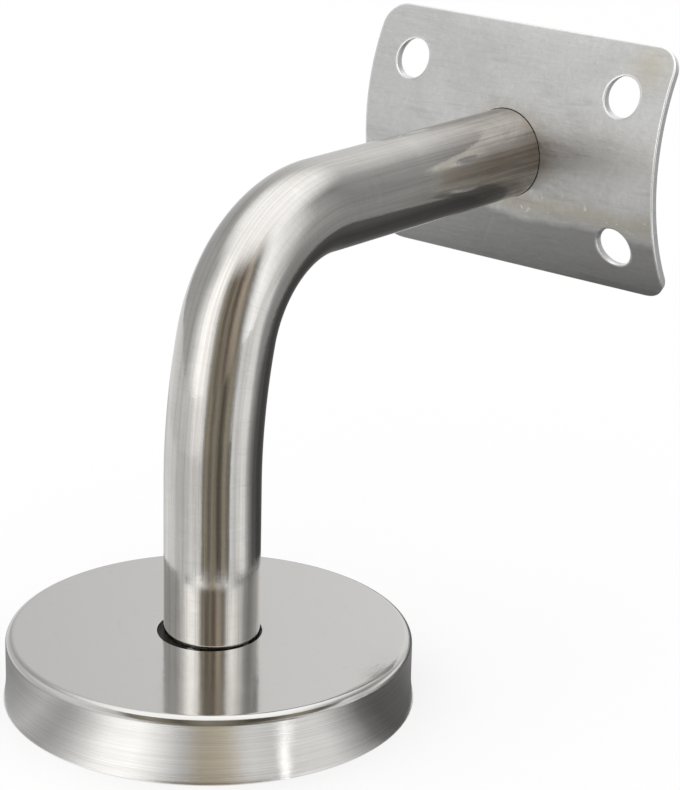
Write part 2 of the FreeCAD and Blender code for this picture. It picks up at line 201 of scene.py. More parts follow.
def line_points(start, end, ways):
    """Points from start to end at the given shares of the way."""
    start, end = np.array(start, float), np.array(end, float)
    return start + np.array(ways, float)[:, None] * (end - start)


def arc_points(centre, radius, start, end, count):
    """Points of an arc about centre from one angle to the other, in degrees."""
    angle = np.radians(np.linspace(start, end, count))
    return np.array(centre) + radius * pairs(np.cos(angle), np.sin(angle))


def running_length(points):
    """Length along a line of points, 0 at its first."""
    steps = np.linalg.norm(np.diff(points, axis=0), axis=1)
    return np.concatenate(([0.0], np.cumsum(steps)))


def grid_quads(rows, columns, close_rows=False, first=0):
    """Four-sided faces between neighbours of a grid of rows by columns, closed along its rows."""
    i = np.arange(rows if close_rows else rows - 1)
    i, j = np.meshgrid(i, np.arange(columns), indexing="ij")
    i2, j2 = (i + 1) % rows, (j + 1) % columns
    quads = np.stack((i * columns + j, i * columns + j2, i2 * columns + j2, i2 * columns + j), -1)
    return quads.reshape(-1, 4) + first


def full_turn(columns):
    """Equal steps of an angle round the whole turn."""
    return np.arange(columns) * (2 * np.pi / columns)


def round_points(radius, angle, height):
    """A list of the points (r cos a, r sin a, h) of a grid."""
    return grid_points(radius * np.cos(angle), radius * np.sin(angle), height).reshape(-1, 3)


def closed_quads(points, columns):
    """The faces of a grid closed both ways, turned so that it holds a positive volume."""
    quads = grid_quads(len(points) // columns, columns, close_rows=True)
    a, b, c, d = (points[quads[:, k]] for k in range(4))
    volume = np.einsum("ij,ij->", a, np.cross(b, c)) + np.einsum("ij,ij->", a, np.cross(c, d))
    return quads if volume > 0 else quads[:, ::-1]


def place_piece(name, mesh, material, body, stands_for):
    """A mesh as a piece at the origin that rides on a body and stands for CAD nodes."""
    mesh.materials.clear()
    mesh.materials.append(material)
    piece = bpy.data.objects.new(name, mesh)
    bpy.context.scene.collection.objects.link(piece)
    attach(piece, body)
    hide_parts(*stands_for)


def fill(layer, key, array):
    """The numbers of a mesh's layer set from an array."""
    layer.data.foreach_set(key, np.ascontiguousarray(array, np.float32).ravel())


def new_piece(name, points, quads, material, body, slot, stands_for, vectors=None, values=None,
              uv=None, weld=False):
    """A smooth new mesh placed as a piece.

    vectors and values are named point attributes, uv one pair of numbers for each point.
    """
    mesh = bpy.data.meshes.new(name)
    mesh.from_pydata(points.tolist(), [], quads.tolist())
    for label, array in (vectors or {}).items():
        fill(mesh.attributes.new(label, "FLOAT_VECTOR", "POINT"), "vector", array)
    for label, array in (values or {}).items():
        fill(mesh.attributes.new(label, "FLOAT", "POINT"), "value", array)
    if uv is not None:
        corner = np.empty(len(mesh.loops), np.int32)
        mesh.loops.foreach_get("vertex_index", corner)
        fill(mesh.uv_layers.new(name="UVMap"), "uv", uv[corner])
    if weld:
        join = bmesh.new()
        join.from_mesh(mesh)
        bmesh.ops.remove_doubles(join, verts=join.verts, dist=SAME_POINT)
        bmesh.ops.recalc_face_normals(join, faces=join.faces)
        join.to_mesh(mesh)
        join.free()
    mesh.polygons.foreach_set("use_smooth", np.ones(len(mesh.polygons), bool))
    mesh.validate()
    place_piece(name, mesh, material, body, stands_for)


def cover_profile(sizes):
    """Half section of the cover as a closed line of (radius, height).

    It runs over the top from the hole, round the rim, down the wall whose mouth curls out as
    the square of the depth, and back along the inside one sheet thickness away.
    """
    edge, sheet, rim = sizes.edge_round, sizes.sheet, sizes.rim_radius
    wall = sizes.mouth_radius - sizes.flare
    top, hole, curl = sizes.height, sizes.hole_radius, sizes.flare_height
    spread = (0.01, 0.03, 0.08, 0.16, 0.3, 0.45, 0.6, 0.75, 0.88, 0.96, 0.99)
    down = np.linspace(0, 1, 16)[1:-1]
    flare = sizes.flare * down ** 2
    outer_curl = pairs(wall + flare, curl * (1 - down))
    mouth = sizes.mouth_radius
    return np.vstack((
        arc_points((hole + edge, top - edge), edge, 180, 90, 5),
        line_points((hole + edge, top), (wall - rim, top), spread),
        arc_points((wall - rim, top - rim), rim, 90, 0, 14),
        line_points((wall, top - rim), (wall, curl), spread),
        outer_curl,
        arc_points((mouth - edge, edge), edge, 0, -90, 5),
        arc_points((mouth - sheet + edge, edge), edge, -90, -180, 5),
        (outer_curl - (sheet, 0))[::-1],
        line_points((wall - sheet, curl), (wall - sheet, top - rim), spread),
        arc_points((wall - rim, top - rim), rim - sheet, 0, 90, 8),
        line_points((wall - rim, top - sheet), (hole + edge, top - sheet), spread),
        arc_points((hole + edge, top - sheet + edge), edge, 270, 180, 5),
    ))


def cover_surface(sizes, columns=288):
    """The section turned about the upright: (r cos a, r sin a, h).

    Near the hole the sheet sinks by the dish times exp(-(distance from the hole) / its reach).
    """
    profile = cover_profile(sizes)
    reach = profile[:, 0] - sizes.hole_radius
    high = profile[:, 1] > sizes.height - sizes.sheet - sizes.edge_round
    profile[:, 1] -= high * sizes.dish * np.exp(-reach / DISH_REACH)
    along = running_length(profile)
    angle = full_turn(columns)
    points = round_points(profile[:, :1], angle, profile[:, 1:])
    wall = sizes.mouth_radius - sizes.flare
    upright = np.clip((profile[:, 0] - (wall - sizes.rim_radius)) / sizes.rim_radius, 0, 1)
    turn = np.repeat(along, columns)
    grain = np.column_stack((points[:, :2], turn))
    uv = np.column_stack((np.tile(angle, len(profile)) * wall, turn))
    placed = points + (*COVER_MIDDLE[:2], 0)
    return placed, closed_quads(points, columns), grain, np.repeat(upright, columns), uv


def arm_surface(sizes, saddle, columns=160):
    """A round tube carried along an upright run, a slow arc, a tighter arc and a level run.

    A ring stands square on the path: path + r (cos a times the path's normal + sin a times x).
    On the level run the distance grows in proportion to the ring's number up to a curved end,
    which lies on a cylinder about the rail's axis.
    """
    radius, bore = sizes.radius, sizes.radius - sizes.wall
    ease, bend = sizes.ease_angle, sizes.bend_radius
    rise = sizes.ease_radius * math.sin(ease) + bend * (1 - math.sin(ease))
    start = sizes.axis_height - rise
    ease_y = sizes.ease_radius * (1 - math.cos(ease))
    bend_y = ease_y + bend * math.cos(ease)
    axis_y = saddle.crown + saddle.rail_radius + saddle.sheet
    cope = saddle.rail_radius + sizes.cope_depth

    up = np.linspace(sizes.foot, start, 40)
    slow = np.linspace(0, ease, 24)[1:]
    quick = np.linspace(ease, np.pi / 2, 56)[1:]
    level = np.linspace(0, 1, 48)[1:]
    path = np.vstack((
        pairs(0.0, up),
        pairs(sizes.ease_radius * (1 - np.cos(slow)), start + sizes.ease_radius * np.sin(slow)),
        pairs(ease_y + bend * (math.cos(ease) - np.cos(quick)),
              sizes.axis_height - bend * (1 - np.sin(quick))),
    ))
    tilt = np.concatenate((0 * up, slow, quick))
    angle = full_turn(columns)

    def skin(r):
        """The rings of one skin, the outside or the bore."""
        out = r * np.cos(angle)
        ring_y = path[:, :1] - out * np.cos(tilt)[:, None]
        ring_z = path[:, 1:] + out * np.sin(tilt)[:, None]
        end_y = axis_y - np.sqrt(cope ** 2 - out ** 2)
        run_y = bend_y + level[:, None] * (end_y - bend_y)
        across = r * np.sin(angle)
        return np.concatenate((grid_points(across, ring_y, ring_z),
                               grid_points(across, run_y, sizes.axis_height + out)))

    outer, inner = skin(radius), skin(bore)[::-1]
    points = np.concatenate((outer, inner)).reshape(-1, 3)
    level_run = pairs(bend_y + level * (saddle.crown - bend_y), sizes.axis_height)
    steps = running_length(np.vstack((path, level_run)))
    along = np.repeat(np.concatenate((steps, steps[::-1])), columns)
    turn = np.tile(angle, 2 * len(outer))
    laid = np.column_stack((radius * np.cos(turn), radius * np.sin(turn), along))
    uv = np.column_stack((turn * radius, along))
    return points, closed_quads(points, columns), laid, uv


QUARTERS = ((1, 1), (1, -1), (-1, 1), (-1, -1))


def all_round(quarter):
    """A quarter of a loop, from the x axis to the s axis, repeated into the closed loop."""
    turned = quarter[::-1]
    return np.concatenate((quarter[:-1], (turned * (-1, 1))[:-1], (quarter * (-1, -1))[:-1],
                           (turned * (1, -1))[:-1]))


def shares(count):
    """The starts of count equal parts of 1."""
    return np.arange(count) / count


def saddle_surface(sizes):
    """A flat blank with five holes, rolled about the rail's axis.

    A spot of the blank is (x, s), s measured along the middle of the sheet. Rolled, it lies at
    the angle s / middle radius and at the crown radius less its depth. The blank is cut into
    five fields, one round each hole; in a field a point goes from the hole's edge to the
    field's edge by a share t. The cut edges are rounded with a quarter circle.
    """
    middle = sizes.rail_radius + sizes.sheet / 2
    crown = sizes.rail_radius + sizes.sheet
    axis_y, axis_z = sizes.crown + crown, RAIL_HEIGHT
    edge, half_x, half_s = sizes.edge_round, sizes.half_length, sizes.blank / 2
    mid_x, mid_s = half_x - sizes.corner, half_s - sizes.corner
    field_x = sizes.screw_x / 2

    def rolled(x, turn, depth):
        """The point in space of a spot at an angle and a depth under the crown."""
        reach = crown - depth
        return grid_points(x, axis_y - reach * np.cos(turn), axis_z + reach * np.sin(turn))

    quarter = np.radians(np.linspace(0, 90, 6))
    lip_inset = edge * (1 - np.sin(quarter))
    lip_depth = edge * (1 - np.cos(quarter))
    lip_inset = np.concatenate((lip_inset, lip_inset[::-1]))
    lip_depth = np.concatenate((lip_depth, (sizes.sheet - lip_depth)[::-1]))

    bend = np.radians(90 * shares(12))
    right = pairs(half_x, mid_s * shares(22))
    corner = pairs(mid_x + sizes.corner * np.cos(bend), mid_s + sizes.corner * np.sin(bend))
    top = pairs(mid_x + (field_x - mid_x) * shares(16), half_s)
    over = pairs(field_x * (1 - shares(14)), half_s)
    rim = np.concatenate((right, corner, top, over, ((0.0, half_s),)))
    outward = np.concatenate((
        np.tile((1.0, 0.0), (len(right), 1)), pairs(np.cos(bend), np.sin(bend)),
        np.tile((0.0, 1.0), (len(top) + len(over) + 1, 1))))
    inner = rim - edge * outward
    split = len(right) + len(corner) + len(top)
    rise = (half_s - edge) * shares(26)
    corner_field = np.concatenate((
        inner[:split], pairs(field_x, half_s - edge - rise),
        pairs(field_x + (half_x - edge - field_x) * shares(20), 0.0)))
    centre_field = all_round(np.concatenate((pairs(field_x, rise), inner[split:])))
    way = np.array((1, 0.985, 0.955, 0.9, 0.8, 0.7, 0.6, 0.5, 0.4, 0.3, 0.2, 0.12, 0.06, 0.02))

    def field(spots, hole_x, hole_z, radius, softness=1.0):
        """One field: front, rounded hole edge and back as one grid of rings."""
        hole_s = middle * math.asin(hole_z / middle)
        angle = np.arctan2(spots[:, 1] - hole_s, spots[:, 0] - hole_x)

        def hole(step, depth):
            """Angle and x of the hole's ring, widened by a step."""
            height = hole_z + (radius + step) * np.sin(angle)
            return hole_x + (radius + step) * np.cos(angle), np.arcsin(height / (crown - depth))

        def face(depth, ways):
            """The rings of the front or the back."""
            x0, turn0 = hole(softness * edge, depth)
            t = np.array(ways)[:, None]
            return rolled(x0 + t * (spots[:, 0] - x0),
                          turn0 + t * (spots[:, 1] / middle - turn0), depth)

        low = np.where(lip_depth < sizes.sheet / 2, lip_depth * softness,
                       sizes.sheet - (sizes.sheet - lip_depth) * softness)
        lip = np.array([rolled(*hole(softness * step, down), down)
                        for step, down in zip(lip_inset, low)])
        return np.concatenate((face(0.0, way), lip, face(sizes.sheet, way[::-1])))

    grids = [field(corner_field * (sx, ss), sx * sizes.screw_x, ss * sizes.screw_z,
                   sizes.screw_radius) for sx, ss in QUARTERS]
    grids.append(field(centre_field, 0.0, 0.0, sizes.seat_radius, softness=0.25))
    loop, out = all_round(rim), all_round(outward)
    grids.append(np.array([
        rolled(loop[:, 0] - step * out[:, 0], (loop[:, 1] - step * out[:, 1]) / middle, down)
        for step, down in zip(lip_inset, lip_depth)]))
    starts = np.cumsum([0] + [g.shape[0] * g.shape[1] for g in grids])
    quads = np.concatenate([grid_quads(g.shape[0], g.shape[1], first=n)
                            for g, n in zip(grids, starts)])
    points = np.concatenate([g.reshape(-1, 3) for g in grids])

    x = points[:, 0]
    s = middle * np.arctan2(points[:, 2] - axis_z, axis_y - points[:, 1])
    past = np.maximum(np.abs(np.column_stack((x, s))) - (mid_x, mid_s), 0)
    gap = np.where(past.any(1), sizes.corner - np.linalg.norm(past, axis=1),
                   np.minimum(half_x - np.abs(x), half_s - np.abs(s)))
    screw_s = middle * math.asin(sizes.screw_z / middle)
    for sx, ss in QUARTERS:
        from_hole = np.hypot(x - sx * sizes.screw_x, s - ss * screw_s)
        gap = np.minimum(gap, from_hole - sizes.screw_radius)
    seat_gap = np.hypot(x, s) - sizes.seat_radius
    depth = crown - np.hypot(points[:, 2] - axis_z, axis_y - points[:, 1])
    return points, quads, np.column_stack((x, s, depth)), np.abs(gap), seat_gap


def flush_ring_surface(sizes, arm, saddle, columns=144):
    """A ring of weld in the saddle's hollow side, ground flush with it.

    The section is a closed line of (radius, depth); a point lies at (r cos a, r sin a) about
    the tube and on a cylinder about the rail's axis whose radius grows with the depth.
    """
    bore, depth = arm.radius - arm.wall, arm.cope_depth
    rim, soft = bore + sizes.ring_width, 0.1 * MM
    section = np.array((
        (bore, depth), (bore, 3 * soft), (bore, soft), (bore + soft / 3, soft / 3),
        (bore + soft, 0.0), (bore + 4 * soft, 0.1 * soft), ((bore + rim) / 2, 0.3 * soft),
        (rim - 4 * soft, 0.1 * soft), (rim - soft, 0.0), (rim - soft / 3, soft / 3),
        (rim, soft), (rim, 3 * soft), (rim, depth)))
    angle = full_turn(columns)
    x = section[:, :1] * np.cos(angle)
    up = section[:, :1] * np.sin(angle)
    axis_y = saddle.crown + saddle.rail_radius + saddle.sheet
    y = axis_y - np.sqrt((saddle.rail_radius + section[:, 1:]) ** 2 - up ** 2)
    points = grid_points(x, y, up + RAIL_HEIGHT).reshape(-1, 3)
    return points, closed_quads(points, columns)


def fillet_bead_surface(sizes, arm, columns=408):
    """A fillet weld round the tube's foot on the flange.

    Over its face the share a runs from the tube to the flange: radius = tube + leg * a and
    height = flange + leg * (1 - a), less a hollow of ripples. A ripple is the depth times the
    size of sin(half their number times the angle, turned on by a), so that the ripples lean.
    """
    share = np.linspace(0, 1, 17)[:, None]
    angle = full_turn(columns)
    plate = FLANGE_HIGH[2]
    lean = RIPPLE_LEAN * np.sin(np.pi * share)
    ripple = np.abs(np.sin(sizes.ripples / 2 * angle + lean))
    hollow = sizes.ripple_depth * (1 - ripple) * np.sin(np.pi * share) ** 0.5
    radius = arm.radius + sizes.leg * share - hollow
    height = plate + sizes.leg * (1 - share) - hollow
    radius = np.vstack((radius, np.full((1, columns), arm.radius)))
    height = np.vstack((height, np.full((1, columns), plate)))
    points = round_points(radius, angle, height)
    return points, closed_quads(points, columns)


def smooth_copy(node, name, material, body):
    """A copy of a CAD node, joined at its seams, smooth with sharp edges kept sharp."""
    join = bmesh.new()
    join.from_mesh(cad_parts[node].data)
    bmesh.ops.remove_doubles(join, verts=join.verts, dist=SAME_CAD_POINT)
    for edge in join.edges:
        edge.smooth = edge.calc_face_angle(0.0) < SHARP_EDGE
    for face in join.faces:
        face.smooth = True
    mesh = bpy.data.meshes.new(name)
    join.to_mesh(mesh)
    join.free()
    place_piece(name, mesh, material, body, [node])


# ---------------------------------------------------------------- finishes

def add_node(tree, kind, **settings):
    """A node of a kind; settings name its attributes, or its inputs as in_NAME."""
    made = tree.nodes.new(kind)
    for name, value in settings.items():
        if name.startswith("in_"):
            key = name[3:].replace("_", " ")
            made.inputs[int(key) if key.isdigit() else key].default_value = value
        else:
            setattr(made, name, value)
    return made


def wire(tree, *links):
    """Links in a tree, each given as (node, output, node, input)."""
    for start, output, end, into in links:
        tree.links.new(start.outputs[output], end.inputs[into])


def new_group(name, inputs, outputs):
    """An empty node group with named sockets, and its two ends."""
    tree = bpy.data.node_groups.new(name, "ShaderNodeTree")
    for label, kind, default in (("Place", "Vector", None), *inputs):
        socket = tree.interface.new_socket(label, in_out="INPUT",
                                           socket_type="NodeSocket" + kind)
        if default is not None:
            socket.default_value = default
    for label in outputs:
        tree.interface.new_socket(label, in_out="OUTPUT", socket_type="NodeSocketFloat")
    return tree, tree.nodes.new("NodeGroupInput"), tree.nodes.new("NodeGroupOutput")


def grain_group(name):
    """Fine lines drawn out by Stretch: two layers of noise, and the tone pushed by Contrast."""
    tree, start, end = new_group(
        name, (("Stretch", "Vector", (1, 1, 1)), ("Contrast", "Float", 1.0)),
        ("Tone", "Height"))
    drawn = add_node(tree, "ShaderNodeVectorMath", operation="MULTIPLY")
    coarse = add_node(tree, "ShaderNodeTexNoise", in_Scale=1.0, in_Detail=3.0,
                      in_Roughness=0.6)
    fine = add_node(tree, "ShaderNodeTexNoise", in_Scale=3.7, in_Detail=4.0,
                    in_Roughness=0.7)
    both = add_node(tree, "ShaderNodeMix", data_type="FLOAT", in_Factor=0.5)
    centred = add_node(tree, "ShaderNodeMath", operation="SUBTRACT", in_1=0.5)
    pushed = add_node(tree, "ShaderNodeMath", operation="MULTIPLY")
    tone = add_node(tree, "ShaderNodeMath", operation="ADD", in_1=0.5, use_clamp=True)
    wire(tree, (start, "Place", drawn, 0), (start, "Stretch", drawn, 1),
         (drawn, 0, coarse, "Vector"), (drawn, 0, fine, "Vector"),
         (coarse, 0, both, 2), (fine, 0, both, 3), (both, 0, centred, 0),
         (centred, 0, pushed, 0), (start, "Contrast", pushed, 1), (pushed, 0, tone, 0),
         (tone, 0, end, "Tone"), (both, 0, end, "Height"))
    return tree


def scratch_group(name):
    """Sparse short scratches: noise drawn out along two slanted ways, only its peaks kept."""
    tree, start, end = new_group(
        name, (("Scale", "Float", 600.0), ("Amount", "Float", 0.5)), ("Mask",))
    most = add_node(tree, "ShaderNodeMath", operation="MAXIMUM")
    amount = add_node(tree, "ShaderNodeMath", operation="MULTIPLY", use_clamp=True)
    for slot, (turn, shift) in enumerate(((0.5, 0.0), (-1.05, 3.0))):
        turned = add_node(tree, "ShaderNodeMapping", in_Rotation=(0.0, 0.0, turn),
                          in_Location=(shift, shift, 0.0))
        drawn = add_node(tree, "ShaderNodeVectorMath", operation="MULTIPLY",
                         in_1=(1.0, 0.045, 1.0))
        lines = add_node(tree, "ShaderNodeTexNoise", in_Detail=2.0, in_Roughness=0.5)
        peaks = add_node(tree, "ShaderNodeMapRange", in_1=0.66, in_2=0.74)
        wire(tree, (start, "Place", turned, "Vector"), (turned, 0, drawn, 0),
             (drawn, 0, lines, "Vector"), (start, "Scale", lines, "Scale"),
             (lines, 0, peaks, 0), (peaks, 0, most, slot))
    wire(tree, (most, 0, amount, 0), (start, "Amount", amount, 1), (amount, 0, end, "Mask"))
    return tree


def patch_group(name):
    """Cloudy patches: slow noise bent by itself, spread between Low and High."""
    tree, start, end = new_group(
        name, (("Scale", "Float", 60.0), ("Low", "Float", 0.35), ("High", "Float", 0.65)),
        ("Tone",))
    cloud = add_node(tree, "ShaderNodeTexNoise", in_Detail=5.0, in_Roughness=0.62,
                     in_Distortion=0.5)
    spread = add_node(tree, "ShaderNodeMapRange")
    wire(tree, (start, "Place", cloud, "Vector"), (start, "Scale", cloud, "Scale"),
         (cloud, 0, spread, 0), (start, "Low", spread, 1), (start, "High", spread, 2),
         (spread, 0, end, "Tone"))
    return tree


PATTERNS = {"Brushed grain": grain_group, "Fine scratches": scratch_group,
            "Cloudy patches": patch_group}


class Finish:
    """A metal finish under construction: one Principled shader and the base laid up for it.

    Its patterns lie on a place, which is a point attribute or else the Object coordinates.
    """

    def __init__(self, name, base, roughness, place=None):
        self.material = bpy.data.materials.new(name)
        self.material.use_nodes = True
        self.tree = self.material.node_tree
        self.shader = self.tree.nodes["Principled BSDF"]
        for socket, value in (("Base Color", (*base, 1.0)), ("Metallic", 1.0),
                              ("Roughness", roughness)):
            self.shader.inputs[socket].default_value = value
        self.base = base
        if place is None:
            self.place = self.add("ShaderNodeTexCoord").outputs["Object"]
        else:
            self.place = self.attribute(place, "Vector")

    def add(self, kind, **settings):
        return add_node(self.tree, kind, **settings)

    def feed(self, made, slot, value):
        """A node's input: linked where the value is a socket, set where it is plain."""
        if isinstance(value, bpy.types.NodeSocket):
            self.tree.links.new(value, made.inputs[slot])
        else:
            made.inputs[slot].default_value = value

    def attribute(self, name, output="Fac"):
        return self.add("ShaderNodeAttribute", attribute_name=name).outputs[output]

    def pattern(self, name, **values):
        """The outputs of a shared pattern, which is built when it is first asked for."""
        tree = bpy.data.node_groups.get(name) or PATTERNS[name](name)
        made = self.add("ShaderNodeGroup", node_tree=tree)
        for label, value in (("Place", self.place), *values.items()):
            self.feed(made, label, value)
        return made.outputs

    def grain(self, stretch, contrast):
        """The tone and the height of fine lines."""
        outputs = self.pattern("Brushed grain", Stretch=stretch, Contrast=contrast)
        return outputs["Tone"], outputs["Height"]

    def scratches(self, scale, amount):
        """The mask of fine scratches."""
        return self.pattern("Fine scratches", Scale=scale, Amount=amount)["Mask"]

    def patches(self, scale, low, high):
        """The tone of cloudy patches."""
        return self.pattern("Cloudy patches", Scale=scale, Low=low, High=high)["Tone"]

    def place_parts(self):
        """The three parts of the place."""
        made = self.add("ShaderNodeSeparateXYZ")
        self.feed(made, 0, self.place)
        return made.outputs

    def spread(self, value, low, high, to_low=0.0, to_high=1.0):
        """The value mapped from one range to another."""
        made = self.add("ShaderNodeMapRange", in_1=low, in_2=high, in_3=to_low, in_4=to_high)
        self.feed(made, 0, value)
        return made.outputs[0]

    def blend(self, factor, first, second):
        """Two colours blended by a factor; each is a plain colour or a socket."""
        made = self.add("ShaderNodeMix", data_type="RGBA")
        self.feed(made, 0, factor)
        for slot, value in ((6, first), (7, second)):
            plain = not isinstance(value, bpy.types.NodeSocket)
            self.feed(made, slot, (*value, 1.0) if plain else value)
        return made.outputs[2]

    def lay(self, factor, colour):
        """A colour laid over the base as far as the factor says."""
        self.base = self.blend(factor, self.base, colour)

    def sum(self, first, second, operation="ADD"):
        """Two values added, or joined by another operation."""
        made = self.add("ShaderNodeMath", operation=operation)
        self.feed(made, 0, first)
        self.feed(made, 1, second)
        return made.outputs[0]

    def product(self, first, second):
        return self.sum(first, second, "MULTIPLY")

    def complete(self, roughness, *bumps):
        """The material with its base, roughness and bumps fed to the shader.

        A bump is a pair of a height value and its whole depth in metres.
        """
        self.feed(self.shader, "Base Color", self.base)
        self.feed(self.shader, "Roughness", roughness)
        normal = None
        for value, depth in bumps:
            bump = self.add("ShaderNodeBump", in_Distance=depth)
            self.feed(bump, "Height", value)
            if normal is not None:
                self.feed(bump, "Normal", normal)
            normal = bump.outputs[0]
        self.feed(self.shader, "Normal", normal)
        return self.material


def darker(rgb, share):
    """A colour scaled by a share; past 1 it is a brighter one."""
    return tuple(share * c for c in rgb)


def brushed_cover_finish(colours):
    """Sheet brushed round the wall, finer and brighter on the flat top."""
    finish = Finish("cover_brushed_steel", colours.cover, 0.2, "grain_place")
    wall = finish.attribute("wall")
    lines, line_height = finish.grain((35.0, 35.0, 5200.0), 1.6)
    bands, _ = finish.grain((18.0, 18.0, 1500.0), 1.2)
    clouds = finish.patches(45.0, 0.3, 0.7)
    scratches = finish.scratches(700.0, 0.5)
    strong = finish.spread(wall, 0.0, 1.0, 0.04, 1.0)
    dark = finish.spread(finish.product(lines, bands), 0.12, 0.45, 1.0, 0.0)
    finish.lay(finish.product(dark, strong), darker(colours.cover, 0.76))
    finish.lay(finish.product(scratches, 0.25), darker(colours.cover, 0.8))
    rough = finish.sum(finish.spread(wall, 0.0, 1.0, 0.085, 0.13),
                       finish.spread(lines, 0.2, 0.8, -0.02, 0.04))
    rough = finish.sum(rough, finish.spread(clouds, 0.0, 1.0, -0.015, 0.035))
    return finish.complete(rough, (clouds, 0.00003),
                           (finish.product(line_height, strong), 0.00002))


TINT_SPAN = (112 * MM, 128 * MM)


def satin_arm_finish(colours):
    """Drawn tube polished along its length: streaks, smoky patches and a brown tint by the weld."""
    finish = Finish("arm_satin_steel", colours.arm, 0.2, "laid_place")
    lines, line_height = finish.grain((2600.0, 2600.0, 24.0), 1.8)
    streaks, streak_height = finish.grain((700.0, 700.0, 9.0), 2.6)
    marks, _ = finish.grain((160.0, 160.0, 1900.0), 2.2)
    clouds = finish.patches(110.0, 0.35, 0.65)
    scratches = finish.scratches(500.0, 0.6)
    finish.lay(finish.product(finish.spread(streaks, 0.2, 0.55, 0.6, 0.0),
                              finish.spread(lines, 0.3, 0.7, 0.9, 0.2)), colours.arm_streak)
    finish.lay(finish.spread(clouds, 0.0, 0.7, 0.26, 0.0), darker(colours.arm, 0.72))
    finish.lay(finish.spread(marks, 0.15, 0.45, 0.3, 0.0), darker(colours.arm, 0.7))
    finish.lay(finish.product(scratches, 0.3), darker(colours.arm, 1.2))
    along = finish.place_parts()["Z"]
    tint = finish.product(finish.spread(along, *TINT_SPAN, 0.0, 0.9),
                          finish.spread(streaks, 0.2, 0.7, 1.0, 0.45))
    finish.lay(tint, darker(colours.arm_streak, 0.85))
    rough = finish.sum(finish.spread(lines, 0.2, 0.8, 0.06, 0.12),
                       finish.spread(clouds, 0.0, 1.0, 0.04, -0.02))
    return finish.complete(rough, (clouds, 0.00001), (streak_height, 0.00001),
                           (line_height, 0.000005))


STAIN_PLACE = (27 * MM, 19.5 * MM, 0.0)
# Level of the painted warm reflection on the saddle.
REFLECTION_LINE = -8 * MM
# Level below which the saddle's outer face gets painted shade.
SHADE_LINE = -11.8 * MM


def mill_saddle_finish(colours):
    """Matt rolled plate: clouds, smudges along the rail, painted shade over its lower part under a
    painted warm reflection, painted glints in that reflection, cut edges brighter as ground edges
    with a painted highlight, and a straw tint by the weld."""
    finish = Finish("saddle_mill_steel", colours.mill, 0.4, "blank_place")
    clouds = finish.patches(55.0, 0.32, 0.68)
    specks = finish.patches(900.0, 0.35, 0.7)
    grain, grain_height = finish.grain((70.0, 1500.0, 70.0), 1.8)
    smudges, _ = finish.grain((55.0, 330.0, 55.0), 3.0)
    scratches = finish.scratches(420.0, 0.3)
    glints = finish.patches(650.0, 0.62, 0.7)
    place = finish.place_parts()
    outside = finish.spread(place["Z"], 0.3 * MM, 0.9 * MM, 1.0, 0.0)
    level = finish.sum(place["Y"], finish.spread(clouds, 0.0, 1.0, -1 * MM, 1 * MM))

    finish.base = finish.blend(clouds, colours.mill_dark, colours.mill)
    finish.lay(finish.spread(smudges, 0.1, 0.5, 0.5, 0.0), darker(colours.mill_dark, 0.8))
    finish.lay(finish.spread(specks, 0.0, 1.0, 0.25, 0.0), darker(colours.mill_dark, 0.7))
    finish.lay(finish.spread(grain, 0.2, 0.8, 0.26, 0.0), darker(colours.mill, 0.65))
    finish.lay(finish.product(scratches, 0.5), darker(colours.mill, 1.3))

    # Painted shade: the outer face is darkened below a level line, where the rolled plate turns
    # downwards.
    painted_shade = finish.product(finish.spread(level, SHADE_LINE, SHADE_LINE + 1.4 * MM, 1.0, 0.0),
                           finish.spread(level, -21 * MM, -12 * MM, 0.1, 0.6))
    finish.lay(finish.product(painted_shade, outside), darker(colours.mill_dark, 0.42))
    # Painted reflection: a warm stripe along the outer face, just above the painted shade.
    from_reflection_line = finish.sum(finish.sum(level, -REFLECTION_LINE), 0.0, "ABSOLUTE")
    warm_reflection_mask = finish.product(finish.spread(from_reflection_line, 0.6 * MM, 3 * MM, 1.0, 0.0), outside)
    finish.lay(finish.product(warm_reflection_mask, 0.42), colours.stain_and_warm_reflection)
    # Painted glints: bright specks laid only inside the painted warm reflection.
    glint = finish.product(glints, warm_reflection_mask)
    finish.lay(glint, darker(colours.mill, 1.4))

    heat = finish.product(
        finish.spread(finish.attribute("seat_gap"), 0.3 * MM, 3 * MM, 0.25, 0.0),
        finish.spread(clouds, 0.0, 1.0, 1.0, 0.4))
    finish.lay(heat, colours.heat)
    from_stain = finish.add("ShaderNodeVectorMath", operation="DISTANCE",
                            in_1=STAIN_PLACE)
    finish.feed(from_stain, 0, finish.place)
    finish.lay(finish.spread(from_stain.outputs["Value"], 1 * MM, 6 * MM, 0.4, 0.0),
               colours.stain_and_warm_reflection)
    # Cut edges made brighter: partly ground edges, partly a painted highlight along them.
    edge = finish.spread(finish.attribute("edge_gap"), 0.1 * MM, 0.5 * MM, 0.8, 0.0)
    finish.lay(edge, darker(colours.mill, 1.45))

    rough = finish.sum(finish.spread(smudges, 0.1, 0.8, 0.5, 0.36),
                       finish.spread(specks, 0.0, 1.0, 0.04, -0.04))
    rough = finish.sum(rough, finish.product(edge, -0.16))
    rough = finish.sum(rough, finish.product(glint, -0.15))
    return finish.complete(rough, (finish.sum(specks, grain_height), 0.000015),
                           (smudges, 0.00002))


def flange_finish(colours):
    """Plain cut plate with rolling marks and scratches."""
    finish = Finish("flange_plate_steel", colours.mill, 0.38)
    clouds = finish.patches(60.0, 0.3, 0.7)
    grain, grain_height = finish.grain((70.0, 1500.0, 70.0), 1.6)
    scratches = finish.scratches(400.0, 0.45)
    finish.base = finish.blend(clouds, colours.mill_dark, colours.mill)
    finish.lay(finish.spread(grain, 0.2, 0.8, 0.3, 0.0), darker(colours.mill, 0.65))
    finish.lay(finish.product(scratches, 0.6), darker(colours.mill, 1.35))
    return finish.complete(finish.spread(clouds, 0.0, 1.0, 0.46, 0.3), (grain_height, 0.00002))


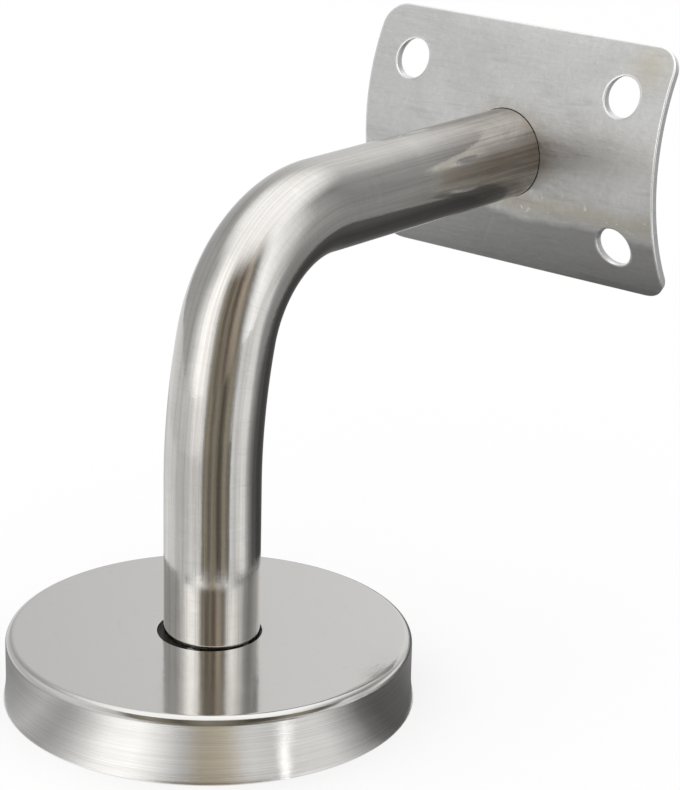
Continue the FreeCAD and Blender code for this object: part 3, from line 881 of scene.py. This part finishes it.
def weld_finish(colours, name, bloom_share, line_depth):
    """Weld metal with fine lines of a depth and a share of straw and grey bloom."""
    finish = Finish(name, colours.weld, 0.34)
    bloom = finish.patches(220.0, 0.35, 0.65)
    lines, line_height = finish.grain((300.0, 300.0, 3200.0), 1.8)
    finish.lay(finish.spread(bloom, 0.0, 1.0, 0.0, bloom_share), colours.heat)
    finish.lay(finish.spread(lines, 0.3, 0.8, 0.35, 0.0), darker(colours.weld, 0.6))
    return finish.complete(finish.spread(bloom, 0.0, 1.0, 0.24, 0.4), (line_height, line_depth))


# ---------------------------------------------------------------- studio

CARD_LEVEL = 1.8
CARD_LIFT = 0.02 * MM
STRIP_LIFT = 0.05 * MM
FLOOR_DROP = 0.1 * MM
FLOOR_HALF = 3.0
WALL_FOOT = 34.5 * MM
NEAR_REACH = 62 * MM
MID_REACH = 185 * MM
ROOM_RADIUS = 900 * MM
COLLAR_START = 33.9 * MM
COLLAR_REACH = 66 * MM
OVERHEAD_TONE = 1.3
OVERHEAD_SPAN = (0.64, 0.95)
SHADOW_LOSS = 0.72


def warm(tone):
    """A tone with a little brown in it."""
    return (tone, 0.9 * tone, 0.72 * tone)


def brown(tone):
    """A tone with more brown in it."""
    return (tone, 0.84 * tone, 0.68 * tone)


NEAR_TONES = ((-117, 0.3), (-94, 0.32), (-80, 0.42), (-66, 0.62), (-60, 0.52), (-54, 0.46),
              (-47, 0.62), (-40, 0.95), (-33, 1.4), (-22, 1.5), (-13, 1.05), (-7, 0.68),
              (0, warm(0.52)), (8, warm(0.62)), (16, 0.9), (25, 0.8), (33, 0.95), (44, 0.95),
              (54, 0.52), (62, 0.2), (70, 0.12), (88, 0.14), (117, 0.25), (160, 0.4))
MID_TONES = ((-175, 0.3), (-150, 0.7), (-128, 0.85), (-101, 0.8), (-81, 0.62), (-63, 0.62),
             (-45, 0.82), (-29, 0.76), (-24, 0.65), (-20, warm(0.22)), (-14, warm(0.32)),
             (-6, warm(0.12)), (1, warm(0.29)), (8, warm(0.22)), (14, warm(0.08)),
             (20, warm(0.11)), (26, warm(0.32)), (31, warm(0.28)), (36, warm(0.14)),
             (41, 0.3), (44, 0.9), (53, 0.6), (66, 0.95), (78, 0.9), (86, 0.5), (95, 0.26),
             (105, 0.13), (128, 0.06), (145, 0.07), (165, 0.15))
FAR_TONES = ((-175, 0.8), (-140, 0.85), (-100, 0.65), (-63, 0.72), (-45, 1.12), (-29, 1.0),
             (-24, 0.65), (-20, warm(0.24)), (-14, warm(0.34)), (-6, warm(0.14)),
             (1, warm(0.3)), (8, warm(0.2)), (14, warm(0.09)), (20, warm(0.14)),
             (26, warm(0.34)), (33, warm(0.26)), (38, 0.4), (43, 0.85), (53, 0.7), (66, 0.95),
             (78, 0.9), (88, 0.35), (105, 0.3), (150, 0.3), (175, 0.6))
ROOM_TONES = ((-175, 0.68), (-155, 0.5), (-138, 0.42), (-112, 0.46), (-86, 0.47), (-70, 0.82),
              (-52, 1.55), (-40, 1.5), (-31, 1.2), (-26, 0.7), (-22, warm(0.34)),
              (-15, warm(0.3)), (-9, warm(0.12)), (-4, brown(0.26)), (1, brown(0.3)),
              (7, brown(0.1)), (13, brown(0.34)), (18, brown(0.5)), (23, warm(0.4)),
              (28, warm(0.2)), (34, 0.42), (40, 0.95), (50, 1.3), (60, 1.1), (75, 0.8),
              (86, 0.42), (102, 0.3), (125, 0.45), (150, 0.78), (165, 0.84))


def card_finish(name, tones, overhead=None, one_sided=False):
    """A toned card that glows: its tone goes round the upright.

    tones are (degrees to the camera's right, grey or colour). With an overhead tone the card
    is a dome, and blends to that tone as the sine of the height angle crosses a span.
    A one-sided card is clear from below.
    """
    material = bpy.data.materials.new(name)
    material.use_nodes = True
    tree = material.node_tree
    tree.nodes.clear()
    place = add_node(tree, "ShaderNodeTexCoord")
    turn = add_node(tree, "ShaderNodeTexGradient", gradient_type="RADIAL")
    ramp_node = add_node(tree, "ShaderNodeValToRGB")
    glow = add_node(tree, "ShaderNodeEmission", in_Strength=CARD_LEVEL)
    out = add_node(tree, "ShaderNodeOutputMaterial")
    ramp, stops = ramp_node.color_ramp, ramp_stops(tones)
    ramp.elements.remove(ramp.elements[-1])
    ramp.elements[0].position, ramp.elements[0].color = stops[0]
    for at, rgba in stops[1:]:
        ramp.elements.new(at).color = rgba
    wire(tree, (place, "Object", turn, 0), (turn, "Fac", ramp_node, 0),
         (ramp_node, 0, glow, 0), (glow, 0, out, 0))
    if overhead is not None:
        way = add_node(tree, "ShaderNodeVectorMath", operation="NORMALIZE")
        parts = add_node(tree, "ShaderNodeSeparateXYZ")
        rise = add_node(tree, "ShaderNodeMapRange", interpolation_type="SMOOTHSTEP",
                        in_1=OVERHEAD_SPAN[0], in_2=OVERHEAD_SPAN[1])
        mixed = add_node(tree, "ShaderNodeMix", data_type="RGBA", in_7=tone_rgba(overhead))
        wire(tree, (place, "Object", way, 0), (way, 0, parts, 0), (parts, "Z", rise, 0),
             (rise, 0, mixed, 0), (ramp_node, 0, mixed, 6), (mixed, 2, glow, 0))
    if one_sided:
        side = add_node(tree, "ShaderNodeNewGeometry")
        clear = add_node(tree, "ShaderNodeBsdfTransparent")
        either = add_node(tree, "ShaderNodeMixShader")
        wire(tree, (side, "Backfacing", either, 0), (glow, 0, either, 1),
             (clear, 0, either, 2), (either, 0, out, 0))
    return material


def tone_rgba(tone):
    """A grey or a colour as a share of the cards' level."""
    rgb = tone if isinstance(tone, tuple) else (tone, tone, tone)
    return (*(part / CARD_LEVEL for part in rgb), 1.0)


def ramp_stops(tones):
    """Ramp stops sorted round the turn, with the tone where the turn begins put at both ends."""
    camera_turn = math.degrees(bpy.context.scene.bracket_studio.camera_azimuth) - 90
    stops = sorted((((camera_turn + degrees) / 360 + 0.5) % 1.0, tone_rgba(tone))
                   for degrees, tone in tones)
    (first, start), (last, end) = stops[0], stops[-1]
    way = (1 - last) / (1 - last + first)
    seam = tuple(a + way * (b - a) for a, b in zip(end, start))
    return [(0.0, seam), *stops, (1.0, seam)]


def stage_surface(name, points, quads, material):
    """A surface of the stage, which isn't part of the bracket."""
    mesh = bpy.data.meshes.new(name)
    mesh.from_pydata(np.array(points).tolist(), [], np.array(quads).tolist())
    mesh.materials.append(material)
    thing = bpy.data.objects.new(name, mesh)
    bpy.context.scene.collection.objects.link(thing)
    return thing


def toned_card(name, points, quads, material):
    """A surface of the stage that is seen only in the metal's reflections."""
    card = stage_surface(name, points, quads, material)
    card.visible_camera = False
    card.visible_diffuse = False
    card.visible_transmission = False
    card.visible_volume_scatter = False
    card.visible_shadow = False


def ring_card(name, inner, outer, height, material, middle=(0.0, 0.0), columns=96):
    """A flat ring: (r cos a, r sin a, height)."""
    radius = np.array((inner, outer))[:, None]
    points = round_points(radius, full_turn(columns), height) + (*middle, 0.0)
    toned_card(name, points, grid_quads(2, columns), material)


def strip_card(name, angle, middle, near_width, far_width, reach, material):
    """A strip on the floor that the cover's wall shows as one upright line.

    It starts at the wall, at an angle about the upright, and runs off at twice that angle from
    the camera's way, growing from its near width to its far width over its reach.
    """
    to_camera = bpy.context.scene.bracket_studio.camera_azimuth - math.pi / 2
    start = np.array(middle) + WALL_FOOT * np.array(
        (math.cos(to_camera + angle), math.sin(to_camera + angle)))
    way = np.array((math.cos(to_camera + 2 * angle), math.sin(to_camera + 2 * angle)))
    near_side, far_side = (width / 2 * np.array((-way[1], way[0]))
                           for width in (near_width, far_width))
    corners = [start - near_side, start + near_side,
               start + reach * way + far_side, start + reach * way - far_side]
    toned_card(name, [(x, y, STRIP_LIFT) for x, y in corners], [(0, 1, 2, 3)], material)


def dome_card(name, radius, material, rows=24, columns=96):
    """A half ball, open by a hair at its pole: r (cos e cos a, cos e sin a, sin e)."""
    height = np.linspace(0.0, 0.497 * np.pi, rows)[:, None]
    points = radius * round_points(np.cos(height), full_turn(columns), np.sin(height))
    toned_card(name, points, grid_quads(rows, columns), material)


def unscattered(tree):
    """A node that is 1 for rays that come from the eye, from gloss or through something."""
    path = add_node(tree, "ShaderNodeLightPath")
    seen = add_node(tree, "ShaderNodeMath", operation="MAXIMUM")
    clear = add_node(tree, "ShaderNodeMath", operation="MAXIMUM")
    wire(tree, (path, "Is Camera Ray", seen, 0), (path, "Is Glossy Ray", seen, 1),
         (seen, 0, clear, 0), (path, "Is Transmission Ray", clear, 1))
    return clear


def paper_finish(paper):
    """Floor paper: white to the eye and in gloss, keeps part of the object's shadow, and is
    open to the eye from below."""
    material = bpy.data.materials.new("floor_paper")
    material.use_nodes = True
    tree = material.node_tree
    tree.nodes.clear()
    clear = unscattered(tree)
    share = add_node(tree, "ShaderNodeMath", operation="MULTIPLY", in_1=SHADOW_LOSS)
    matt = add_node(tree, "ShaderNodeBsdfDiffuse", in_Color=(*paper, 1.0))
    glow = add_node(tree, "ShaderNodeEmission", in_Color=(1, 1, 1, 1), in_Strength=1.0)
    mixed = add_node(tree, "ShaderNodeMixShader")
    side = add_node(tree, "ShaderNodeNewGeometry")
    open_below = add_node(tree, "ShaderNodeMixShader")
    nothing = add_node(tree, "ShaderNodeBsdfTransparent")
    out = add_node(tree, "ShaderNodeOutputMaterial")
    wire(tree, (side, "Backfacing", open_below, 0), (mixed, 0, open_below, 1),
         (nothing, 0, open_below, 2), (clear, 0, share, 0), (share, 0, mixed, 0),
         (matt, 0, mixed, 1), (glow, 0, mixed, 2), (open_below, 0, out, 0))
    return material


def pale_world():
    """A backdrop that is plain white to the eye and a little darker as a light."""
    world = bpy.data.worlds.new("backdrop")
    world.use_nodes = True
    tree = world.node_tree
    level = add_node(tree, "ShaderNodeMapRange", in_3=0.95, in_4=1.0)
    background = tree.nodes["Background"]
    background.inputs["Color"].default_value = (1, 1, 1, 1)
    wire(tree, (unscattered(tree), 0, level, 0), (level, 0, background, "Strength"))
    return world


def soft_lamp(name, place, target, size, power):
    """A square soft lamp turned to a target."""
    data = bpy.data.lights.new(name, "AREA")
    data.shape = "SQUARE"
    data.size = size
    data.energy = power
    lamp = bpy.data.objects.new(name, data)
    lamp.location = place
    lamp.rotation_euler = (Vector(target) - Vector(place)).to_track_quat("-Z", "Y").to_euler()
    bpy.context.scene.collection.objects.link(lamp)


def camera_matrix(studio):
    """The camera's place and turn: looks down by the elevation, then rolls about its axis."""
    turn, down, roll = studio.camera_azimuth, studio.camera_elevation, studio.camera_roll
    right = Vector((math.cos(turn), math.sin(turn), 0))
    back = Vector((math.sin(turn) * math.cos(down), -math.cos(turn) * math.cos(down),
                   math.sin(down)))
    up = back.cross(right)
    right, up = (math.cos(roll) * right + math.sin(roll) * up,
                 math.cos(roll) * up - math.sin(roll) * right)
    matrix = Matrix((right, up, back)).transposed().to_4x4()
    matrix.translation = Vector(studio.camera_place)
    return matrix


def new_camera(studio):
    """The scene's camera."""
    data = bpy.data.cameras.new("camera")
    data.lens = studio.lens
    data.sensor_width = 36.0
    data.clip_start, data.clip_end = 0.01, 20.0
    camera = bpy.data.objects.new("camera", data)
    camera.matrix_world = camera_matrix(studio)
    bpy.context.scene.collection.objects.link(camera)
    return camera


# ---------------------------------------------------------------- operators

class BRACKET_OT_add_cover(Operator):
    """Add the pressed cover that slides on the arm"""
    bl_idname = "bracket.add_cover"
    bl_label = "Add cover"

    def execute(self, context):
        scene = context.scene
        points, quads, grain, wall, uv = cover_surface(scene.bracket_cover)
        new_piece("cover_cap", points, quads, brushed_cover_finish(scene.bracket_colours),
                  COVER_BODY, "cover_brushed", ["cover_rose"], {"grain_place": grain},
                  {"wall": wall}, uv)
        return {"FINISHED"}


class BRACKET_OT_add_arm(Operator):
    """Add the bent tube"""
    bl_idname = "bracket.add_arm"
    bl_label = "Add arm"

    def execute(self, context):
        scene = context.scene
        points, quads, laid, uv = arm_surface(scene.bracket_arm, scene.bracket_saddle)
        new_piece("bent_arm", points, quads, satin_arm_finish(scene.bracket_colours),
                  FIXED_BODY, "arm_satin", ["arm_tube"], {"laid_place": laid}, uv=uv)
        return {"FINISHED"}


class BRACKET_OT_add_saddle(Operator):
    """Add the rolled plate under the rail"""
    bl_idname = "bracket.add_saddle"
    bl_label = "Add saddle"

    def execute(self, context):
        scene = context.scene
        points, quads, blank, edge, seat = saddle_surface(scene.bracket_saddle)
        new_piece("rail_saddle", points, quads, mill_saddle_finish(scene.bracket_colours),
                  FIXED_BODY, "saddle_mill", ["saddle_plate"], {"blank_place": blank},
                  {"edge_gap": edge, "seat_gap": seat}, blank[:, :2], weld=True)
        return {"FINISHED"}


class BRACKET_OT_add_flange(Operator):
    """Add the wall flange"""
    bl_idname = "bracket.add_flange"
    bl_label = "Add flange"

    def execute(self, context):
        smooth_copy("wall_flange", "flange_plate",
                    flange_finish(context.scene.bracket_colours), FIXED_BODY)
        return {"FINISHED"}


class BRACKET_OT_add_welds(Operator):
    """Add the fillet weld on the flange and the flush weld in the saddle"""
    bl_idname = "bracket.add_welds"
    bl_label = "Add welds"

    def execute(self, context):
        scene = context.scene
        welds, arm, colours = scene.bracket_welds, scene.bracket_arm, scene.bracket_colours
        new_piece("fillet_bead", *fillet_bead_surface(welds, arm),
                  weld_finish(colours, "weld_as_laid", 0.8, 0.01 * MM),
                  FIXED_BODY, "weld_bead", ["flange_weld"])
        new_piece("flush_weld_ring", *flush_ring_surface(welds, arm, scene.bracket_saddle),
                  weld_finish(colours, "weld_ground", 0.3, 0.03 * MM),
                  FIXED_BODY, "weld_bead", ["saddle_weld"])
        return {"FINISHED"}


class BRACKET_OT_add_studio(Operator):
    """Add the pale floor, the soft lamps, the toned cards and the camera"""
    bl_idname = "bracket.add_studio"
    bl_label = "Add studio"

    def execute(self, context):
        scene = context.scene
        studio = scene.bracket_studio
        scene.view_settings.view_transform = "Standard"
        scene.world = pale_world()
        corners = [(FLOOR_HALF * x, FLOOR_HALF * y, -FLOOR_DROP)
                   for x, y in ((-1, -1), (1, -1), (1, 1), (-1, 1))]
        stage_surface("floor", corners, [(0, 1, 2, 3)], paper_finish(studio.paper))

        middle = COVER_MIDDLE[:2]
        ring_card("near_card", WALL_FOOT, NEAR_REACH, CARD_LIFT,
                  card_finish("near_card_tones", NEAR_TONES), middle)
        strip_card("slit_card", math.radians(23.6), middle, near_width=1.5 * MM,
                   far_width=3.6 * MM, reach=27 * MM,
                   material=card_finish("slit_card_tone", ((0, CARD_LEVEL), (180, CARD_LEVEL))))
        ring_card("collar_card", COLLAR_START, COLLAR_REACH, COVER_HIGH[2] + 0.1 * MM,
                  card_finish("collar_card_tones", MID_TONES, one_sided=True))
        ring_card("mid_card", NEAR_REACH, MID_REACH, CARD_LIFT,
                  card_finish("mid_card_tones", MID_TONES))
        ring_card("far_card", MID_REACH, ROOM_RADIUS, CARD_LIFT,
                  card_finish("far_card_tones", FAR_TONES))
        dome_card("room_card", ROOM_RADIUS,
                  card_finish("room_card_tones", ROOM_TONES, OVERHEAD_TONE))

        aim = (0.0, 0.03, 0.05)
        soft_lamp("key_lamp", place=(-0.8, -0.5, 1.2), target=aim, size=1.4,
                  power=studio.key_power)
        soft_lamp("fill_lamp", place=(0.9, -0.2, 1.1), target=aim, size=1.2,
                  power=studio.fill_power)
        scene.camera = new_camera(studio)
        return {"FINISHED"}


class BRACKET_PT_parts(Panel):
    """Buttons and sizes of the bracket"""
    bl_label = "Handrail bracket"
    bl_idname = "BRACKET_PT_parts"
    bl_space_type = "VIEW_3D"
    bl_region_type = "UI"
    bl_category = "Bracket"

    def draw(self, context):
        scene = context.scene
        for operator in OPERATORS:
            self.layout.operator(operator.bl_idname)
        for owner in SETTINGS:
            box = self.layout.box()
            box.label(text=owner.replace("bracket_", "").capitalize())
            group = getattr(scene, owner)
            for label in SETTINGS[owner].__annotations__:
                box.prop(group, label)


SETTINGS = {"bracket_cover": CoverSizes, "bracket_arm": ArmSizes,
            "bracket_saddle": SaddleSizes, "bracket_welds": WeldSizes,
            "bracket_colours": SteelColours, "bracket_studio": StudioSettings}
OPERATORS = (BRACKET_OT_add_flange, BRACKET_OT_add_welds, BRACKET_OT_add_arm,
             BRACKET_OT_add_saddle, BRACKET_OT_add_cover, BRACKET_OT_add_studio)


def register():
    for kind in (*SETTINGS.values(), *OPERATORS, BRACKET_PT_parts):
        bpy.utils.register_class(kind)
    for owner, kind in SETTINGS.items():
        setattr(bpy.types.Scene, owner, PointerProperty(type=kind))


def unregister():
    for owner in SETTINGS:
        delattr(bpy.types.Scene, owner)
    for kind in reversed((*SETTINGS.values(), *OPERATORS, BRACKET_PT_parts)):
        bpy.utils.unregister_class(kind)


def main():
    """Add every piece and the studio."""
    register()
    bpy.ops.bracket.add_flange()
    bpy.ops.bracket.add_welds()
    bpy.ops.bracket.add_arm()
    bpy.ops.bracket.add_saddle()
    bpy.ops.bracket.add_cover()
    bpy.ops.bracket.add_studio()


if __name__ == "__main__":
    main()
